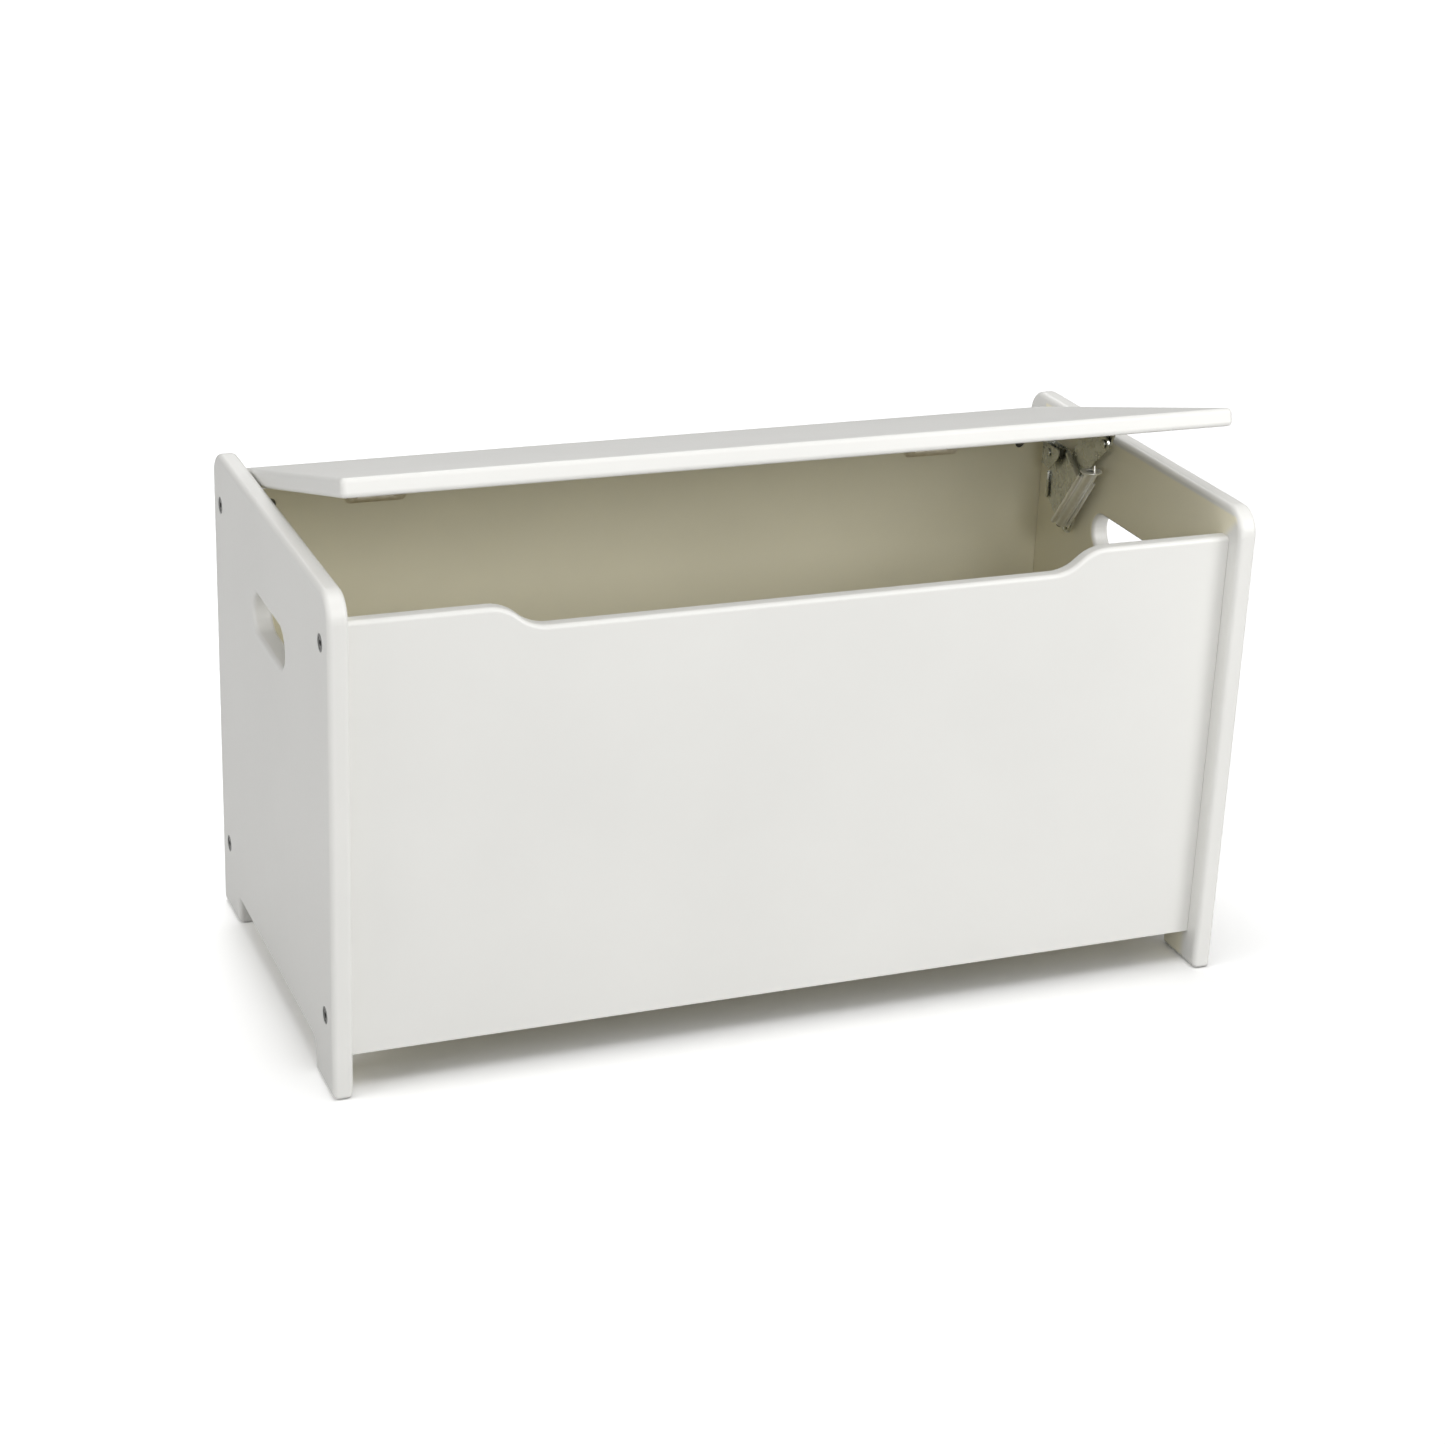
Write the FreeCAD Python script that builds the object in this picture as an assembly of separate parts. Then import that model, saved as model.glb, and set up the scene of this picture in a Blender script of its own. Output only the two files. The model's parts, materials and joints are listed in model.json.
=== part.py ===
"""Toy box: a low chest of painted boards with a lid that is hinged at the back.

Frame: +Z up, +X to the right as seen from the front, the front faces -Y. The origin is on the floor,
midway between the side panels and midway between their front and rear edges. Lengths are in
millimetres. The lid is drawn part open, held by its support.
"""
import FreeCAD, Part
import math
import os

Vec = FreeCAD.Vector

# ---- case ---------------------------------------------------------------------------------------
case_width = 840.0            # over the outer faces of the side panels
case_depth = 410.0            # front edge to rear edge of a side panel
case_height = 448.0           # floor to the top of a side panel
side_thickness = 18.0
board_thickness = 15.0        # front and back panels
side_corner_radius = 24.0     # upper corners of a side panel, seen from the side
side_edge_radius = 5.0        # rounding along a side panel's edges
foot_length = 60.0            # front to back
floor_notch_height = 27.0
floor_notch_radius = 10.0
foot_edge_radius = 3.0        # underside of a foot
slot_length = 116.0           # handle slot, between its flat walls
slot_height = 36.0
slot_centre_z = 347.0
slot_edge_radius = 4.0

panel_bottom_z = 32.0         # lower edge of the front and back panels
front_top_z = 420.0
front_inset = 17.0            # front panel's face behind the side panels' front edges
back_inset = 20.0             # back panel's face in front of the side panels' rear edges
scoop_half_width = 230.0      # from the middle to where the scoop's end curve starts
scoop_depth = 20.0
scoop_curve_run = 52.0        # length of the S curve at each end of the scoop
panel_edge_radius = 4.0
panel_end_radius = 0.8        # upright edges where a panel meets a side panel
back_edge_radius = 1.0        # back panel's top edges

bottom_thickness = 9.0
bottom_rise = 12.0            # underside of the bottom panel above the panels' lower edges
groove_depth = 6.0
groove_clearance = 0.3        # all round the bottom panel's tongue

# ---- joints of the case -------------------------------------------------------------------------
bolt_low_z = 69.0
bolt_high_z = 402.0
bolt_radius = 3.0
bolt_length = 50.0            # under the head
bolt_head_radius = 7.5
bolt_head_height = 3.0
bolt_hex_width = 5.0
bolt_hex_depth = 2.2
bolt_head_chamfer = 0.5
bolt_hole_clearance = 0.3
bolt_end_gap = 2.0            # hole past the bolt's tip
nut_radius = 5.0
nut_length = 12.0
nut_recess = 0.8              # nut's slotted end below the panel's face
nut_clearance = 0.1
nut_end_gap = 0.2             # hole past the nut's inner end
nut_thread_clearance = 0.05
nut_setback = 26.0            # nut axis from the side panel's inner face
nut_slot_width = 1.4
dowel_radius = 4.0
dowel_length = 30.0
dowel_in_side = 11.0          # part of a dowel that sits in the side panel
dowel_heights = (130.0, 330.0)
dowel_clearance = 0.1
dowel_end_gap = 0.5           # hole past each end of a dowel
dowel_chamfer = 0.8

# ---- lid and hinges -----------------------------------------------------------------------------
lid_angle = 15.8              # degrees above the closed lid
lid_thickness = 16.0
lid_end_gap = 1.5             # lid's end to the side panel
lid_front_overhang = 5.0      # lid's front edge ahead of the front panel's face
lid_front_radius = 4.0
lid_corner_radius = 5.0
lid_rest_gap = 1.5            # closed lid above the front panel
hinge_centre_x = 279.0
hinge_length = 56.0
lid_rear_gap = 0.5            # pin axis to the lid's rear edge
back_top_drop = 1.5           # back panel's top edge below the pin axis
hinge_drop = 3.0              # pin axis below the closed lid, and ahead of the back panel
hinge_leaf = 22.0             # pin axis to the leaf's edge
hinge_leaf_thickness = 1.4
hinge_knuckle_radius = 2.6
hinge_pin_radius = 1.25
hinge_pin_clearance = 0.05
hinge_knuckles = 5
hinge_knuckle_gap = 0.3
hinge_leaf_gap = 0.6          # knuckle to the level part of the leaf
hinge_leaf_lap = 0.5          # a knuckle's neck over the level part of the leaf
hinge_neck_inset = 0.05       # a knuckle's neck inside its round
hinge_pin_head_radius = 2.08
hinge_pin_head = 1.0          # thickness of a pin's head
hinge_screw_spacing = 38.0
hinge_screw_edge = 6.5        # screw axis from the leaf's edge
hinge_corner_radius = 4.0
screw_radius = 1.5
screw_length = 12.0
screw_head_radius = 2.9
screw_head_height = 1.0
screw_head_rounding = 0.7
screw_socket_radius = 0.8
screw_socket_depth = 1.6
screw_clearance = 0.15
screw_end_gap = 0.5           # hole past a lid screw's tip

# ---- lid support: a pivot is given by its run ahead of the hinge axis and its rise above it -------
wall_pivot_run = 34.0
wall_pivot_rise = -16.5
elbow_run = 74.0
elbow_rise = -78.5
lid_pivot_run = 136.0
lid_pivot_rise = 22.5
support_plate = 1.5           # brackets
arm_plate = 2.0
arm_gap = 1.5                 # between the two arms
bracket_standoff = 4.0        # wall bracket's base to the lower arm
ear_gap = 4.5                 # lower arm to the wall bracket's outer ear
channel_height = 22.0         # web and ear of the wall bracket
channel_rise = 8.0            # channel's upper edge above the wall pivot
channel_back = 11.0           # wall pivot to the channel's web
base_width = 34.0             # wall bracket's base, front to back
base_height = 37.0
ear_length = 46.0
ear_nose_drop = 2.0           # lower corner of the ear's nose below the wall pivot
ear_slope_run = 14.0          # wall pivot to where the ear's lower edge starts to rise
wall_screw_steps = ((-12.0, -14.0), (4.0, -20.0))   # (y, z) from the wall pivot
arm_corner_radius = 3.0       # lower arm
lower_arm_top = ((5.0, 6.0), (-8.0, 7.5), (-33.0, 11.0), (-61.0, -2.0))    # from the wall pivot
lower_arm_toe = ((-8.0, 2.0), (-1.0, -9.0), (20.0, -3.0))                  # from the elbow
lower_arm_rear = ((5.0, -48.0), (8.0, -32.0), (3.5, -17.0))                # from the wall pivot
upper_arm_corner_radius = 2.0
upper_arm_front_lap = 5.0     # arm's front edge from the tube's middle line, at the elbow
upper_arm_rear_lap = 7.5      # arm's rear edge from the tube's middle line, at the elbow
upper_arm_notch = (30.0, -9.0)                      # from the tube's upper end
upper_arm_throat = (15.5, -2.0)                     # from the tube's upper end
upper_arm_rear = ((53.0, -22.0), (47.0, -12.0))     # from the lid pivot
upper_arm_tip = ((3.0, 8.0), (-8.0, 2.0), (-3.0, -8.0), (14.0, -22.0))     # from the lid pivot
elbow_eye_radius = 7.0
rivet_radius = 2.5
rivet_clearance = 0.05
rivet_side_gap = 0.3          # between a rivet's shoulder or head and the arm that turns on it
rivet_head_radius = 4.5
rivet_head_height = 1.5
rivet_head_rounding = 0.7     # share of the head's height
rivet_tail_radius = 3.5
rivet_tail_height = 0.8
rivet_shoulder_radius = 4.0
pivot_eye_radius = 8.0        # rounded end of a plate around its pivot
tube_radius = 7.0
tube_wall = 1.0
tube_start = 7.2              # tube's lower end from the elbow pivot
tube_length = 83.0
tube_lean = 6.1               # degrees that the tube leans off the line between its arm's pivots
collar_radius = 10.5
collar_thickness = 1.6
collar_bore = 4.5
lug_height = 9.0              # pointed lug that holds the spring's end
lug_width = 5.0
lug_lean = 2.0                # lug's point behind its front corner
lug_thickness = 2.0
lug_setback = 1.5             # lug's front corner from the collar's rim
spring_wire_radius = 0.7
spring_radius = 4.2
spring_pitch = 5.0
spring_end_gap = 0.5          # spring to the plunger
plunger_clearance = 0.1
plunger_nose_radius = 1.5     # rounding of its nose
plunger_radius = 3.6
plunger_reach = 5.0           # part of the plunger below the tube
plunger_in_tube = 8.0
bracket_screw_spacing = 24.0
lid_bracket_reach = 14.0      # lid bracket's ear to its screws
lid_bracket_margin = 7.0      # screw to the edge of the bracket's base
lid_bracket_skirt = 6.0       # ear's depth at its ends
lid_bracket_corner_radius = 4.0
lid_eye_radius = 6.5

# ---- worked out from the values above -----------------------------------------------------------
side_inner_x = case_width / 2 - side_thickness
front_face_y = -case_depth / 2 + front_inset
front_inner_y = front_face_y + board_thickness
back_face_y = case_depth / 2 - back_inset
back_inner_y = back_face_y - board_thickness
hinge_y = back_inner_y - hinge_drop
lid_under_z = front_top_z + lid_rest_gap
hinge_z = lid_under_z - hinge_drop
back_top_z = hinge_z - back_top_drop
bottom_z = panel_bottom_z + bottom_rise
lid_front_y = front_face_y - lid_front_overhang
lid_rear_y = hinge_y + lid_rear_gap
foot_inner_y = case_depth / 2 - foot_length
front_bolt_y = (front_face_y + front_inner_y) / 2
back_bolt_y = (back_face_y + back_inner_y) / 2

wall_pivot = (hinge_y - wall_pivot_run, hinge_z + wall_pivot_rise)
elbow = (hinge_y - elbow_run, hinge_z + elbow_rise)
lid_pivot = (hinge_y - lid_pivot_run, hinge_z + lid_pivot_rise)

base_x0 = side_inner_x - support_plate
lower_x1 = base_x0 - bracket_standoff
lower_x0 = lower_x1 - arm_plate
upper_x1 = lower_x0 - arm_gap
upper_x0 = upper_x1 - arm_plate
ear_x1 = lower_x0 - ear_gap
ear_x0 = ear_x1 - support_plate
tube_x = upper_x0 - tube_radius

tube_angle = math.atan2(lid_pivot[1] - elbow[1], lid_pivot[0] - elbow[0]) + math.radians(tube_lean)
tube_way = Vec(0, math.cos(tube_angle), math.sin(tube_angle))
tube_side = Vec(0, math.sin(tube_angle), -math.cos(tube_angle))
tube_low = Vec(tube_x, elbow[0], elbow[1]) + tube_way * tube_start
tube_high = tube_low + tube_way * tube_length

closed_turn = math.radians(lid_angle)
closed_lid_pivot_y = hinge_y - lid_pivot_run * math.cos(closed_turn) - lid_pivot_rise * math.sin(closed_turn)
closed_lid_pivot_z = hinge_z + lid_pivot_rise * math.cos(closed_turn) - lid_pivot_run * math.sin(closed_turn)
lid_bracket_x = lower_x1 - lid_bracket_reach
lid_bracket_screw_y = [closed_lid_pivot_y + k * bracket_screw_spacing / 2 for k in (-1, 1)]


# ---- helpers ------------------------------------------------------------------------------------
def box(x0, x1, y0, y1, z0, z1):
    """Block between two corners."""
    return Part.makeBox(x1 - x0, y1 - y0, z1 - z0, Vec(x0, y0, z0))


def rod(radius, start, end):
    """Cylinder from one point to another."""
    way = end - start
    return Part.makeCylinder(radius, way.Length, start, way)


def extrude_x(outline, x0, x1):
    """Plate with the given closed wire, drawn in the YZ plane at x = 0, between x0 and x1."""
    plate = Part.Face(outline).extrude(Vec(x1 - x0, 0, 0))
    plate.translate(Vec(x0, 0, 0))
    return plate


def polygon_x(points):
    """Closed wire of straight lines through (y, z) points."""
    corners = [Vec(0, y, z) for y, z in points]
    return Part.makePolygon(corners + corners[:1])


def edges_along(shape, direction, accept=lambda centre: True):
    """Straight edges parallel to a direction whose middle point is accepted."""
    found = []
    for edge in shape.Edges:
        if not isinstance(edge.Curve, Part.Line):
            continue
        if edge.tangentAt(edge.FirstParameter).cross(direction).Length > 1e-6:
            continue
        if accept(edge.CenterOfMass):
            found.append(edge)
    return found


def edges_on_x(shape, x):
    """All edges that lie in the plane at x."""
    return [edge for edge in shape.Edges
            if abs(edge.BoundBox.XMin - x) < 1e-6 and abs(edge.BoundBox.XMax - x) < 1e-6]


def steps_from(place, steps):
    """(y, z) points given by their steps from a place."""
    return [(place[0] + y, place[1] + z) for y, z in steps]


def mirrored(shape):
    """The same shape on the other side of the plane x = 0."""
    return shape.mirror(Vec(0, 0, 0), Vec(1, 0, 0))


def opened(shape):
    """A shape drawn with the lid closed, turned up with the lid."""
    turned = shape.copy()
    turned.rotate(Vec(0, hinge_y, hinge_z), Vec(-1, 0, 0), lid_angle)
    return turned


def save(name, shapes):
    """Write one node; a list of shapes becomes a group of separate solids."""
    solids = shapes if isinstance(shapes, list) else [shapes]
    node = solids[0] if len(solids) == 1 else Part.makeCompound(solids)
    node.exportStep("parts/" + name + ".step")


# ---- case ---------------------------------------------------------------------------------------
def bolt_places():
    """(y, z) of the connector bolts in one side panel."""
    return [(y, z) for y in (front_bolt_y, back_bolt_y) for z in (bolt_low_z, bolt_high_z)]


def dowel_places():
    """(y, z) of the locating dowels in one side panel."""
    return [(y, z) for y in (front_bolt_y, back_bolt_y) for z in dowel_heights]


def groove_cutter():
    """The bottom panel with its clearance: what the case panels' grooves are cut with."""
    grown = groove_clearance
    reach = groove_depth
    return box(-side_inner_x - reach, side_inner_x + reach, front_inner_y - reach, back_inner_y + reach,
               bottom_z - grown, bottom_z + bottom_thickness + grown)


def right_side_panel():
    """Side panel with a handle slot, a floor notch between two feet, and rounded edges."""
    half = case_depth / 2
    x0 = side_inner_x
    x1 = case_width / 2
    panel = box(x0, x1, -half, half, 0, case_height)
    along_x = Vec(1, 0, 0)
    top = edges_along(panel, along_x, lambda c: c.z > case_height - 1)
    panel = panel.makeFillet(side_corner_radius, top)
    notch = box(x0, x1, -foot_inner_y, foot_inner_y, -1, floor_notch_height)
    notch_top = edges_along(notch, along_x, lambda c: c.z > 0)
    panel = panel.cut(notch.makeFillet(floor_notch_radius, notch_top))
    feet = edges_along(panel, along_x, lambda c: c.z < 1)
    panel = panel.makeFillet(foot_edge_radius, feet)
    panel = panel.makeFillet(side_edge_radius, edges_on_x(panel, x0) + edges_on_x(panel, x1))
    slot = box(x0 - 1, x1 + 1, -slot_length / 2, slot_length / 2,
               slot_centre_z - slot_height / 2, slot_centre_z + slot_height / 2)
    slot = slot.makeFillet(slot_height / 2 - 0.01, edges_along(slot, along_x))
    panel = panel.cut(slot)

    def near_slot(edge):
        """Whether an edge belongs to the handle slot."""
        centre = edge.BoundBox.Center
        return abs(centre.z - slot_centre_z) < slot_height and abs(centre.y) < slot_length

    rims = [edge for edge in edges_on_x(panel, x0) + edges_on_x(panel, x1) if near_slot(edge)]
    panel = panel.makeFillet(slot_edge_radius, rims)
    panel = panel.cut(groove_cutter())
    for y, z in bolt_places():
        head = Vec(x1 - bolt_head_height - bolt_hole_clearance, y, z)
        panel = panel.cut(rod(bolt_head_radius + bolt_hole_clearance, head, Vec(x1 + 1, y, z)))
        panel = panel.cut(rod(bolt_radius + bolt_hole_clearance, Vec(x0 - 1, y, z), head))
    for y, z in dowel_places():
        panel = panel.cut(dowel_hole(y, z))
    return panel


def dowel_hole(y, z):
    """Blind hole on both sides of the joint between the right side panel and a cross panel."""
    start = Vec(side_inner_x + dowel_in_side + dowel_end_gap, y, z)
    end = Vec(side_inner_x + dowel_in_side - dowel_length - dowel_end_gap, y, z)
    return rod(dowel_radius + dowel_clearance, start, end)


def bolt_hole(y, z, inner_y):
    """Bolt hole in the right end of a cross panel, with the cross hole of its barrel nut."""
    tip_x = case_width / 2 - bolt_head_height - bolt_length - bolt_end_gap
    shank = rod(bolt_radius + bolt_hole_clearance, Vec(tip_x, y, z), Vec(side_inner_x + 1, y, z))
    nut_x = side_inner_x - nut_setback
    inward = 1 if inner_y > y else -1
    floor_y = inner_y - inward * (nut_recess + nut_length + nut_end_gap)
    cross = rod(nut_radius + nut_clearance, Vec(nut_x, floor_y, z), Vec(nut_x, inner_y + inward, z))
    return shank.fuse(cross)


def drill_ends(panel, y, inner_y):
    """Bolt, nut and dowel holes in both ends of a cross panel."""
    holes = [bolt_hole(y, z, inner_y) for z in (bolt_low_z, bolt_high_z)]
    holes += [dowel_hole(y, z) for z in dowel_heights]
    for hole in holes:
        panel = panel.cut(hole).cut(mirrored(hole))
    return panel


def ease_ends(panel):
    """Round the upright edges of a cross panel's ends, so that its joints show as fine lines."""
    return panel.makeFillet(panel_end_radius, edges_along(panel, Vec(0, 0, 1)))


def scoop_outline():
    """Front panel's outline in the XZ plane: level scoop with an S curve of two arcs at each end."""
    low = front_top_z - scoop_depth
    run = scoop_curve_run
    radius = (run * run + scoop_depth * scoop_depth) / (4 * scoop_depth)
    half_turn = math.asin(run / 2 / radius) / 2
    side = side_inner_x
    start = scoop_half_width

    def lower_arc(sign):
        """Three points of the arc that leaves the level part."""
        a = Vec(sign * start, 0, low)
        middle = Vec(sign * (start + radius * math.sin(half_turn)), 0,
                     low + radius * (1 - math.cos(half_turn)))
        b = Vec(sign * (start + run / 2), 0, low + scoop_depth / 2)
        return a, middle, b

    def upper_arc(sign):
        """Three points of the arc that meets the full height."""
        a = Vec(sign * (start + run / 2), 0, low + scoop_depth / 2)
        middle = Vec(sign * (start + run - radius * math.sin(half_turn)), 0,
                     front_top_z - radius * (1 - math.cos(half_turn)))
        b = Vec(sign * (start + run), 0, front_top_z)
        return a, middle, b

    edges = []
    for sign in (1, -1):
        edges.append(Part.Arc(*lower_arc(sign)).toShape())
        edges.append(Part.Arc(*upper_arc(sign)).toShape())
        corner = Vec(sign * side, 0, front_top_z)
        edges.append(Part.makeLine(Vec(sign * (start + run), 0, front_top_z), corner))
        edges.append(Part.makeLine(corner, Vec(sign * side, 0, panel_bottom_z)))
    edges.append(Part.makeLine(Vec(-start, 0, low), Vec(start, 0, low)))
    edges.append(Part.makeLine(Vec(-side, 0, panel_bottom_z), Vec(side, 0, panel_bottom_z)))
    return Part.Wire(Part.__sortEdges__(edges))


def front_panel():
    """Front panel with a scooped, rounded top edge."""
    panel = Part.Face(scoop_outline()).extrude(Vec(0, board_thickness, 0))
    panel.translate(Vec(0, front_face_y, 0))
    rims = []
    for edge in panel.Edges:
        bounds = edge.BoundBox
        flat = abs(bounds.YMax - bounds.YMin) < 1e-6
        if flat and bounds.ZMin > front_top_z - scoop_depth - 1:
            rims.append(edge)
    panel = panel.makeFillet(panel_edge_radius, rims)
    panel = ease_ends(panel)
    panel = panel.cut(groove_cutter())
    return drill_ends(panel, front_bolt_y, front_inner_y)


def back_panel():
    """Plain back panel; its top edge stays below the hinge axis so that the lid can stand upright."""
    panel = box(-side_inner_x, side_inner_x, back_inner_y, back_face_y, panel_bottom_z, back_top_z)
    top = edges_along(panel, Vec(1, 0, 0), lambda c: c.z > back_top_z - 1)
    panel = panel.makeFillet(back_edge_radius, top)
    panel = ease_ends(panel)
    panel = panel.cut(groove_cutter())
    for sign in (1, -1):
        for x in hinge_screw_x(sign):
            start = Vec(x, back_inner_y - 1, hinge_z - hinge_leaf + hinge_screw_edge)
            end = start + Vec(0, screw_length + 1, 0)
            panel = panel.cut(rod(screw_radius + screw_clearance, start, end))
    return drill_ends(panel, back_bolt_y, back_inner_y)


def bottom_panel():
    """Thin board whose edges sit in the grooves of the four case panels."""
    reach = groove_depth - groove_clearance
    return box(-side_inner_x - reach, side_inner_x + reach, front_inner_y - reach, back_inner_y + reach,
               bottom_z, bottom_z + bottom_thickness)


def connector_bolt(y, z):
    """Flat-headed bolt with a hexagon socket, in the right side panel."""
    x1 = case_width / 2
    neck = Vec(x1 - bolt_head_height, y, z)
    head = rod(bolt_head_radius, neck, Vec(x1, y, z))
    rim = [edge for edge in head.Edges if edge.BoundBox.XMin > x1 - 0.01]
    head = head.makeChamfer(bolt_head_chamfer, rim)
    bolt = head.fuse(rod(bolt_radius, neck - Vec(bolt_length, 0, 0), neck))
    corner = bolt_hex_width / math.sqrt(3)
    turns = [math.radians(60 * k) for k in range(6)]
    hexagon = polygon_x([(y + corner * math.cos(a), z + corner * math.sin(a)) for a in turns])
    return bolt.cut(extrude_x(hexagon, x1 - bolt_hex_depth, x1 + 1))


def barrel_nut(y, z, inner_y):
    """Cross dowel with a threaded hole and a screwdriver slot."""
    nut_x = side_inner_x - nut_setback
    inward = 1 if inner_y > y else -1
    mouth_y = inner_y - inward * nut_recess
    nut = rod(nut_radius, Vec(nut_x, mouth_y, z), Vec(nut_x, mouth_y - inward * nut_length, z))
    reach = nut_radius + 1
    thread = bolt_radius + nut_thread_clearance
    nut = nut.cut(rod(thread, Vec(nut_x - reach, y, z), Vec(nut_x + reach, y, z)))
    low, high = sorted((mouth_y - inward, mouth_y + inward))
    half = nut_slot_width / 2
    return nut.cut(box(nut_x - reach, nut_x + reach, low, high, z - half, z + half))


def dowel(y, z):
    """Locating dowel with eased ends."""
    start = Vec(side_inner_x + dowel_in_side, y, z)
    pin = rod(dowel_radius, start - Vec(dowel_length, 0, 0), start)
    rims = [edge for edge in pin.Edges if isinstance(edge.Curve, Part.Circle)]
    return pin.makeChamfer(dowel_chamfer, rims)


def both_sides(shapes):
    """Shapes drawn on the right, with their mirror images on the left."""
    return shapes + [mirrored(shape) for shape in shapes]


# ---- lid and hinges, drawn closed ---------------------------------------------------------------
def lid():
    """Lid between the side panels, with a rounded front edge and eased front corners."""
    half = side_inner_x - lid_end_gap
    board = box(-half, half, lid_front_y, lid_rear_y, lid_under_z, lid_under_z + lid_thickness)
    corners = edges_along(board, Vec(0, 0, 1), lambda c: c.y < 0)
    board = board.makeFillet(lid_corner_radius, corners)
    front = edges_along(board, Vec(1, 0, 0), lambda c: c.y < 0)
    board = board.makeFillet(lid_front_radius, front)
    for start, _ in lid_screws():
        end = start + Vec(0, 0, screw_length + screw_end_gap)
        board = board.cut(rod(screw_radius + screw_clearance, start, end))
    return opened(board)


def hinge_screw_x(sign):
    """X of the two screws in one leaf of the right (1) or left (-1) hinge."""
    return [sign * hinge_centre_x + k * hinge_screw_spacing / 2 for k in (-1, 1)]


def knuckle_spans(kept):
    """(x0, x1) of every second knuckle, measured from the hinge's left end."""
    pitch = hinge_length / hinge_knuckles
    half_gap = hinge_knuckle_gap / 2
    return [(k * pitch + half_gap, (k + 1) * pitch - half_gap)
            for k in range(hinge_knuckles) if k % 2 == kept]


def leaf(sign, kept, screw_holes):
    """Hinge leaf hanging straight down from the pin, flat against the back panel's inner face."""
    x0 = sign * hinge_centre_x - hinge_length / 2
    face_y = hinge_y + hinge_drop - hinge_leaf_thickness
    gap = hinge_knuckle_radius + hinge_leaf_gap
    plate = box(x0, x0 + hinge_length, face_y, face_y + hinge_leaf_thickness,
                hinge_z - hinge_leaf, hinge_z - gap)
    lower = edges_along(plate, Vec(0, 1, 0), lambda c: c.z < hinge_z - gap - 1)
    plate = plate.makeFillet(hinge_corner_radius, lower)
    neck_y = hinge_y + hinge_knuckle_radius - hinge_neck_inset
    for start, end in knuckle_spans(kept):
        plate = plate.fuse(box(x0 + start, x0 + end, face_y, neck_y,
                               hinge_z - gap - hinge_leaf_lap, hinge_z))
        plate = plate.fuse(rod(hinge_knuckle_radius, Vec(x0 + start, hinge_y, hinge_z),
                               Vec(x0 + end, hinge_y, hinge_z)))
    bore = hinge_pin_radius + hinge_pin_clearance
    bore_start = Vec(x0 - 1, hinge_y, hinge_z)
    plate = plate.cut(rod(bore, bore_start, bore_start + Vec(hinge_length + 2, 0, 0)))
    for x in screw_holes:
        start = Vec(x, face_y - 1, hinge_z - hinge_leaf + hinge_screw_edge)
        plate = plate.cut(rod(screw_radius + screw_clearance, start, start + Vec(0, 10, 0)))
    return plate.removeSplitter()


def back_leaf(sign):
    """Leaf on the back panel."""
    return leaf(sign, 0, hinge_screw_x(sign))


def lid_leaf(sign):
    """The same leaf with the other knuckles, turned up against the closed lid's underside."""
    swung = leaf(sign, 1, hinge_screw_x(sign))
    swung = swung.mirror(Vec(0, hinge_y, hinge_z), Vec(0, 1, 0))
    swung.rotate(Vec(0, hinge_y, hinge_z), Vec(-1, 0, 0), 90)
    return opened(swung)


def hinge_pin(sign):
    """Pin with a rounded head at each end."""
    half = hinge_length / 2
    centre = Vec(sign * hinge_centre_x, hinge_y, hinge_z)
    pin = rod(hinge_pin_radius, centre - Vec(half, 0, 0), centre + Vec(half, 0, 0))
    for end in (-1, 1):
        tip = centre + Vec(end * half, 0, 0)
        pin = pin.fuse(rod(hinge_pin_head_radius, tip, tip + Vec(end * hinge_pin_head, 0, 0)))
    return pin


def screw(start, way):
    """Wood screw with a low round head; start is on the plate's face and way points into the board."""
    shank = rod(screw_radius, start, start + way * screw_length)
    head = rod(screw_head_radius, start - way * screw_head_height, start)
    rim = [edge for edge in head.Edges if isinstance(edge.Curve, Part.Circle)
           and (edge.CenterOfMass - start).Length > screw_head_height / 2]
    head = head.makeFillet(screw_head_rounding, rim)
    above = start - way * (screw_head_height + 1)
    socket = rod(screw_socket_radius, above, above + way * screw_socket_depth)
    return shank.fuse(head).cut(socket)


def back_screws():
    """Screws of the back leaves."""
    face_y = hinge_y + hinge_drop - hinge_leaf_thickness
    z = hinge_z - hinge_leaf + hinge_screw_edge
    return [screw(Vec(x, face_y, z), Vec(0, 1, 0)) for sign in (-1, 1) for x in hinge_screw_x(sign)]


def lid_screws():
    """(point on the closed lid's underside, plate thickness) of every screw that enters the lid."""
    y = hinge_y - hinge_leaf + hinge_screw_edge
    in_leaves = [Vec(x, y, lid_under_z) for sign in (-1, 1) for x in hinge_screw_x(sign)]
    in_bracket = [Vec(lid_bracket_x, y, lid_under_z) for y in lid_bracket_screw_y]
    return ([(place, hinge_leaf_thickness) for place in in_leaves]
            + [(place, support_plate) for place in in_bracket])


def lid_screw_shapes(thickness):
    """Screws in the lid that hold plates of one thickness."""
    up = Vec(0, 0, 1)
    starts = [start for start, plate in lid_screws() if plate == thickness]
    return [opened(screw(start - up * thickness, up)) for start in starts]


# ---- lid support --------------------------------------------------------------------------------
def disc_x(centre, radius, x0, x1):
    """Round plate about a (y, z) centre between x0 and x1."""
    return rod(radius, Vec(x0, centre[0], centre[1]), Vec(x1, centre[0], centre[1]))


def pivot_hole(plate, centre):
    """Drill a plate for a rivet."""
    return plate.cut(disc_x(centre, rivet_radius + rivet_clearance, -case_width, case_width))


def wall_screw_places():
    """(y, z) of the wall bracket's screws."""
    return steps_from(wall_pivot, wall_screw_steps)


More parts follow.
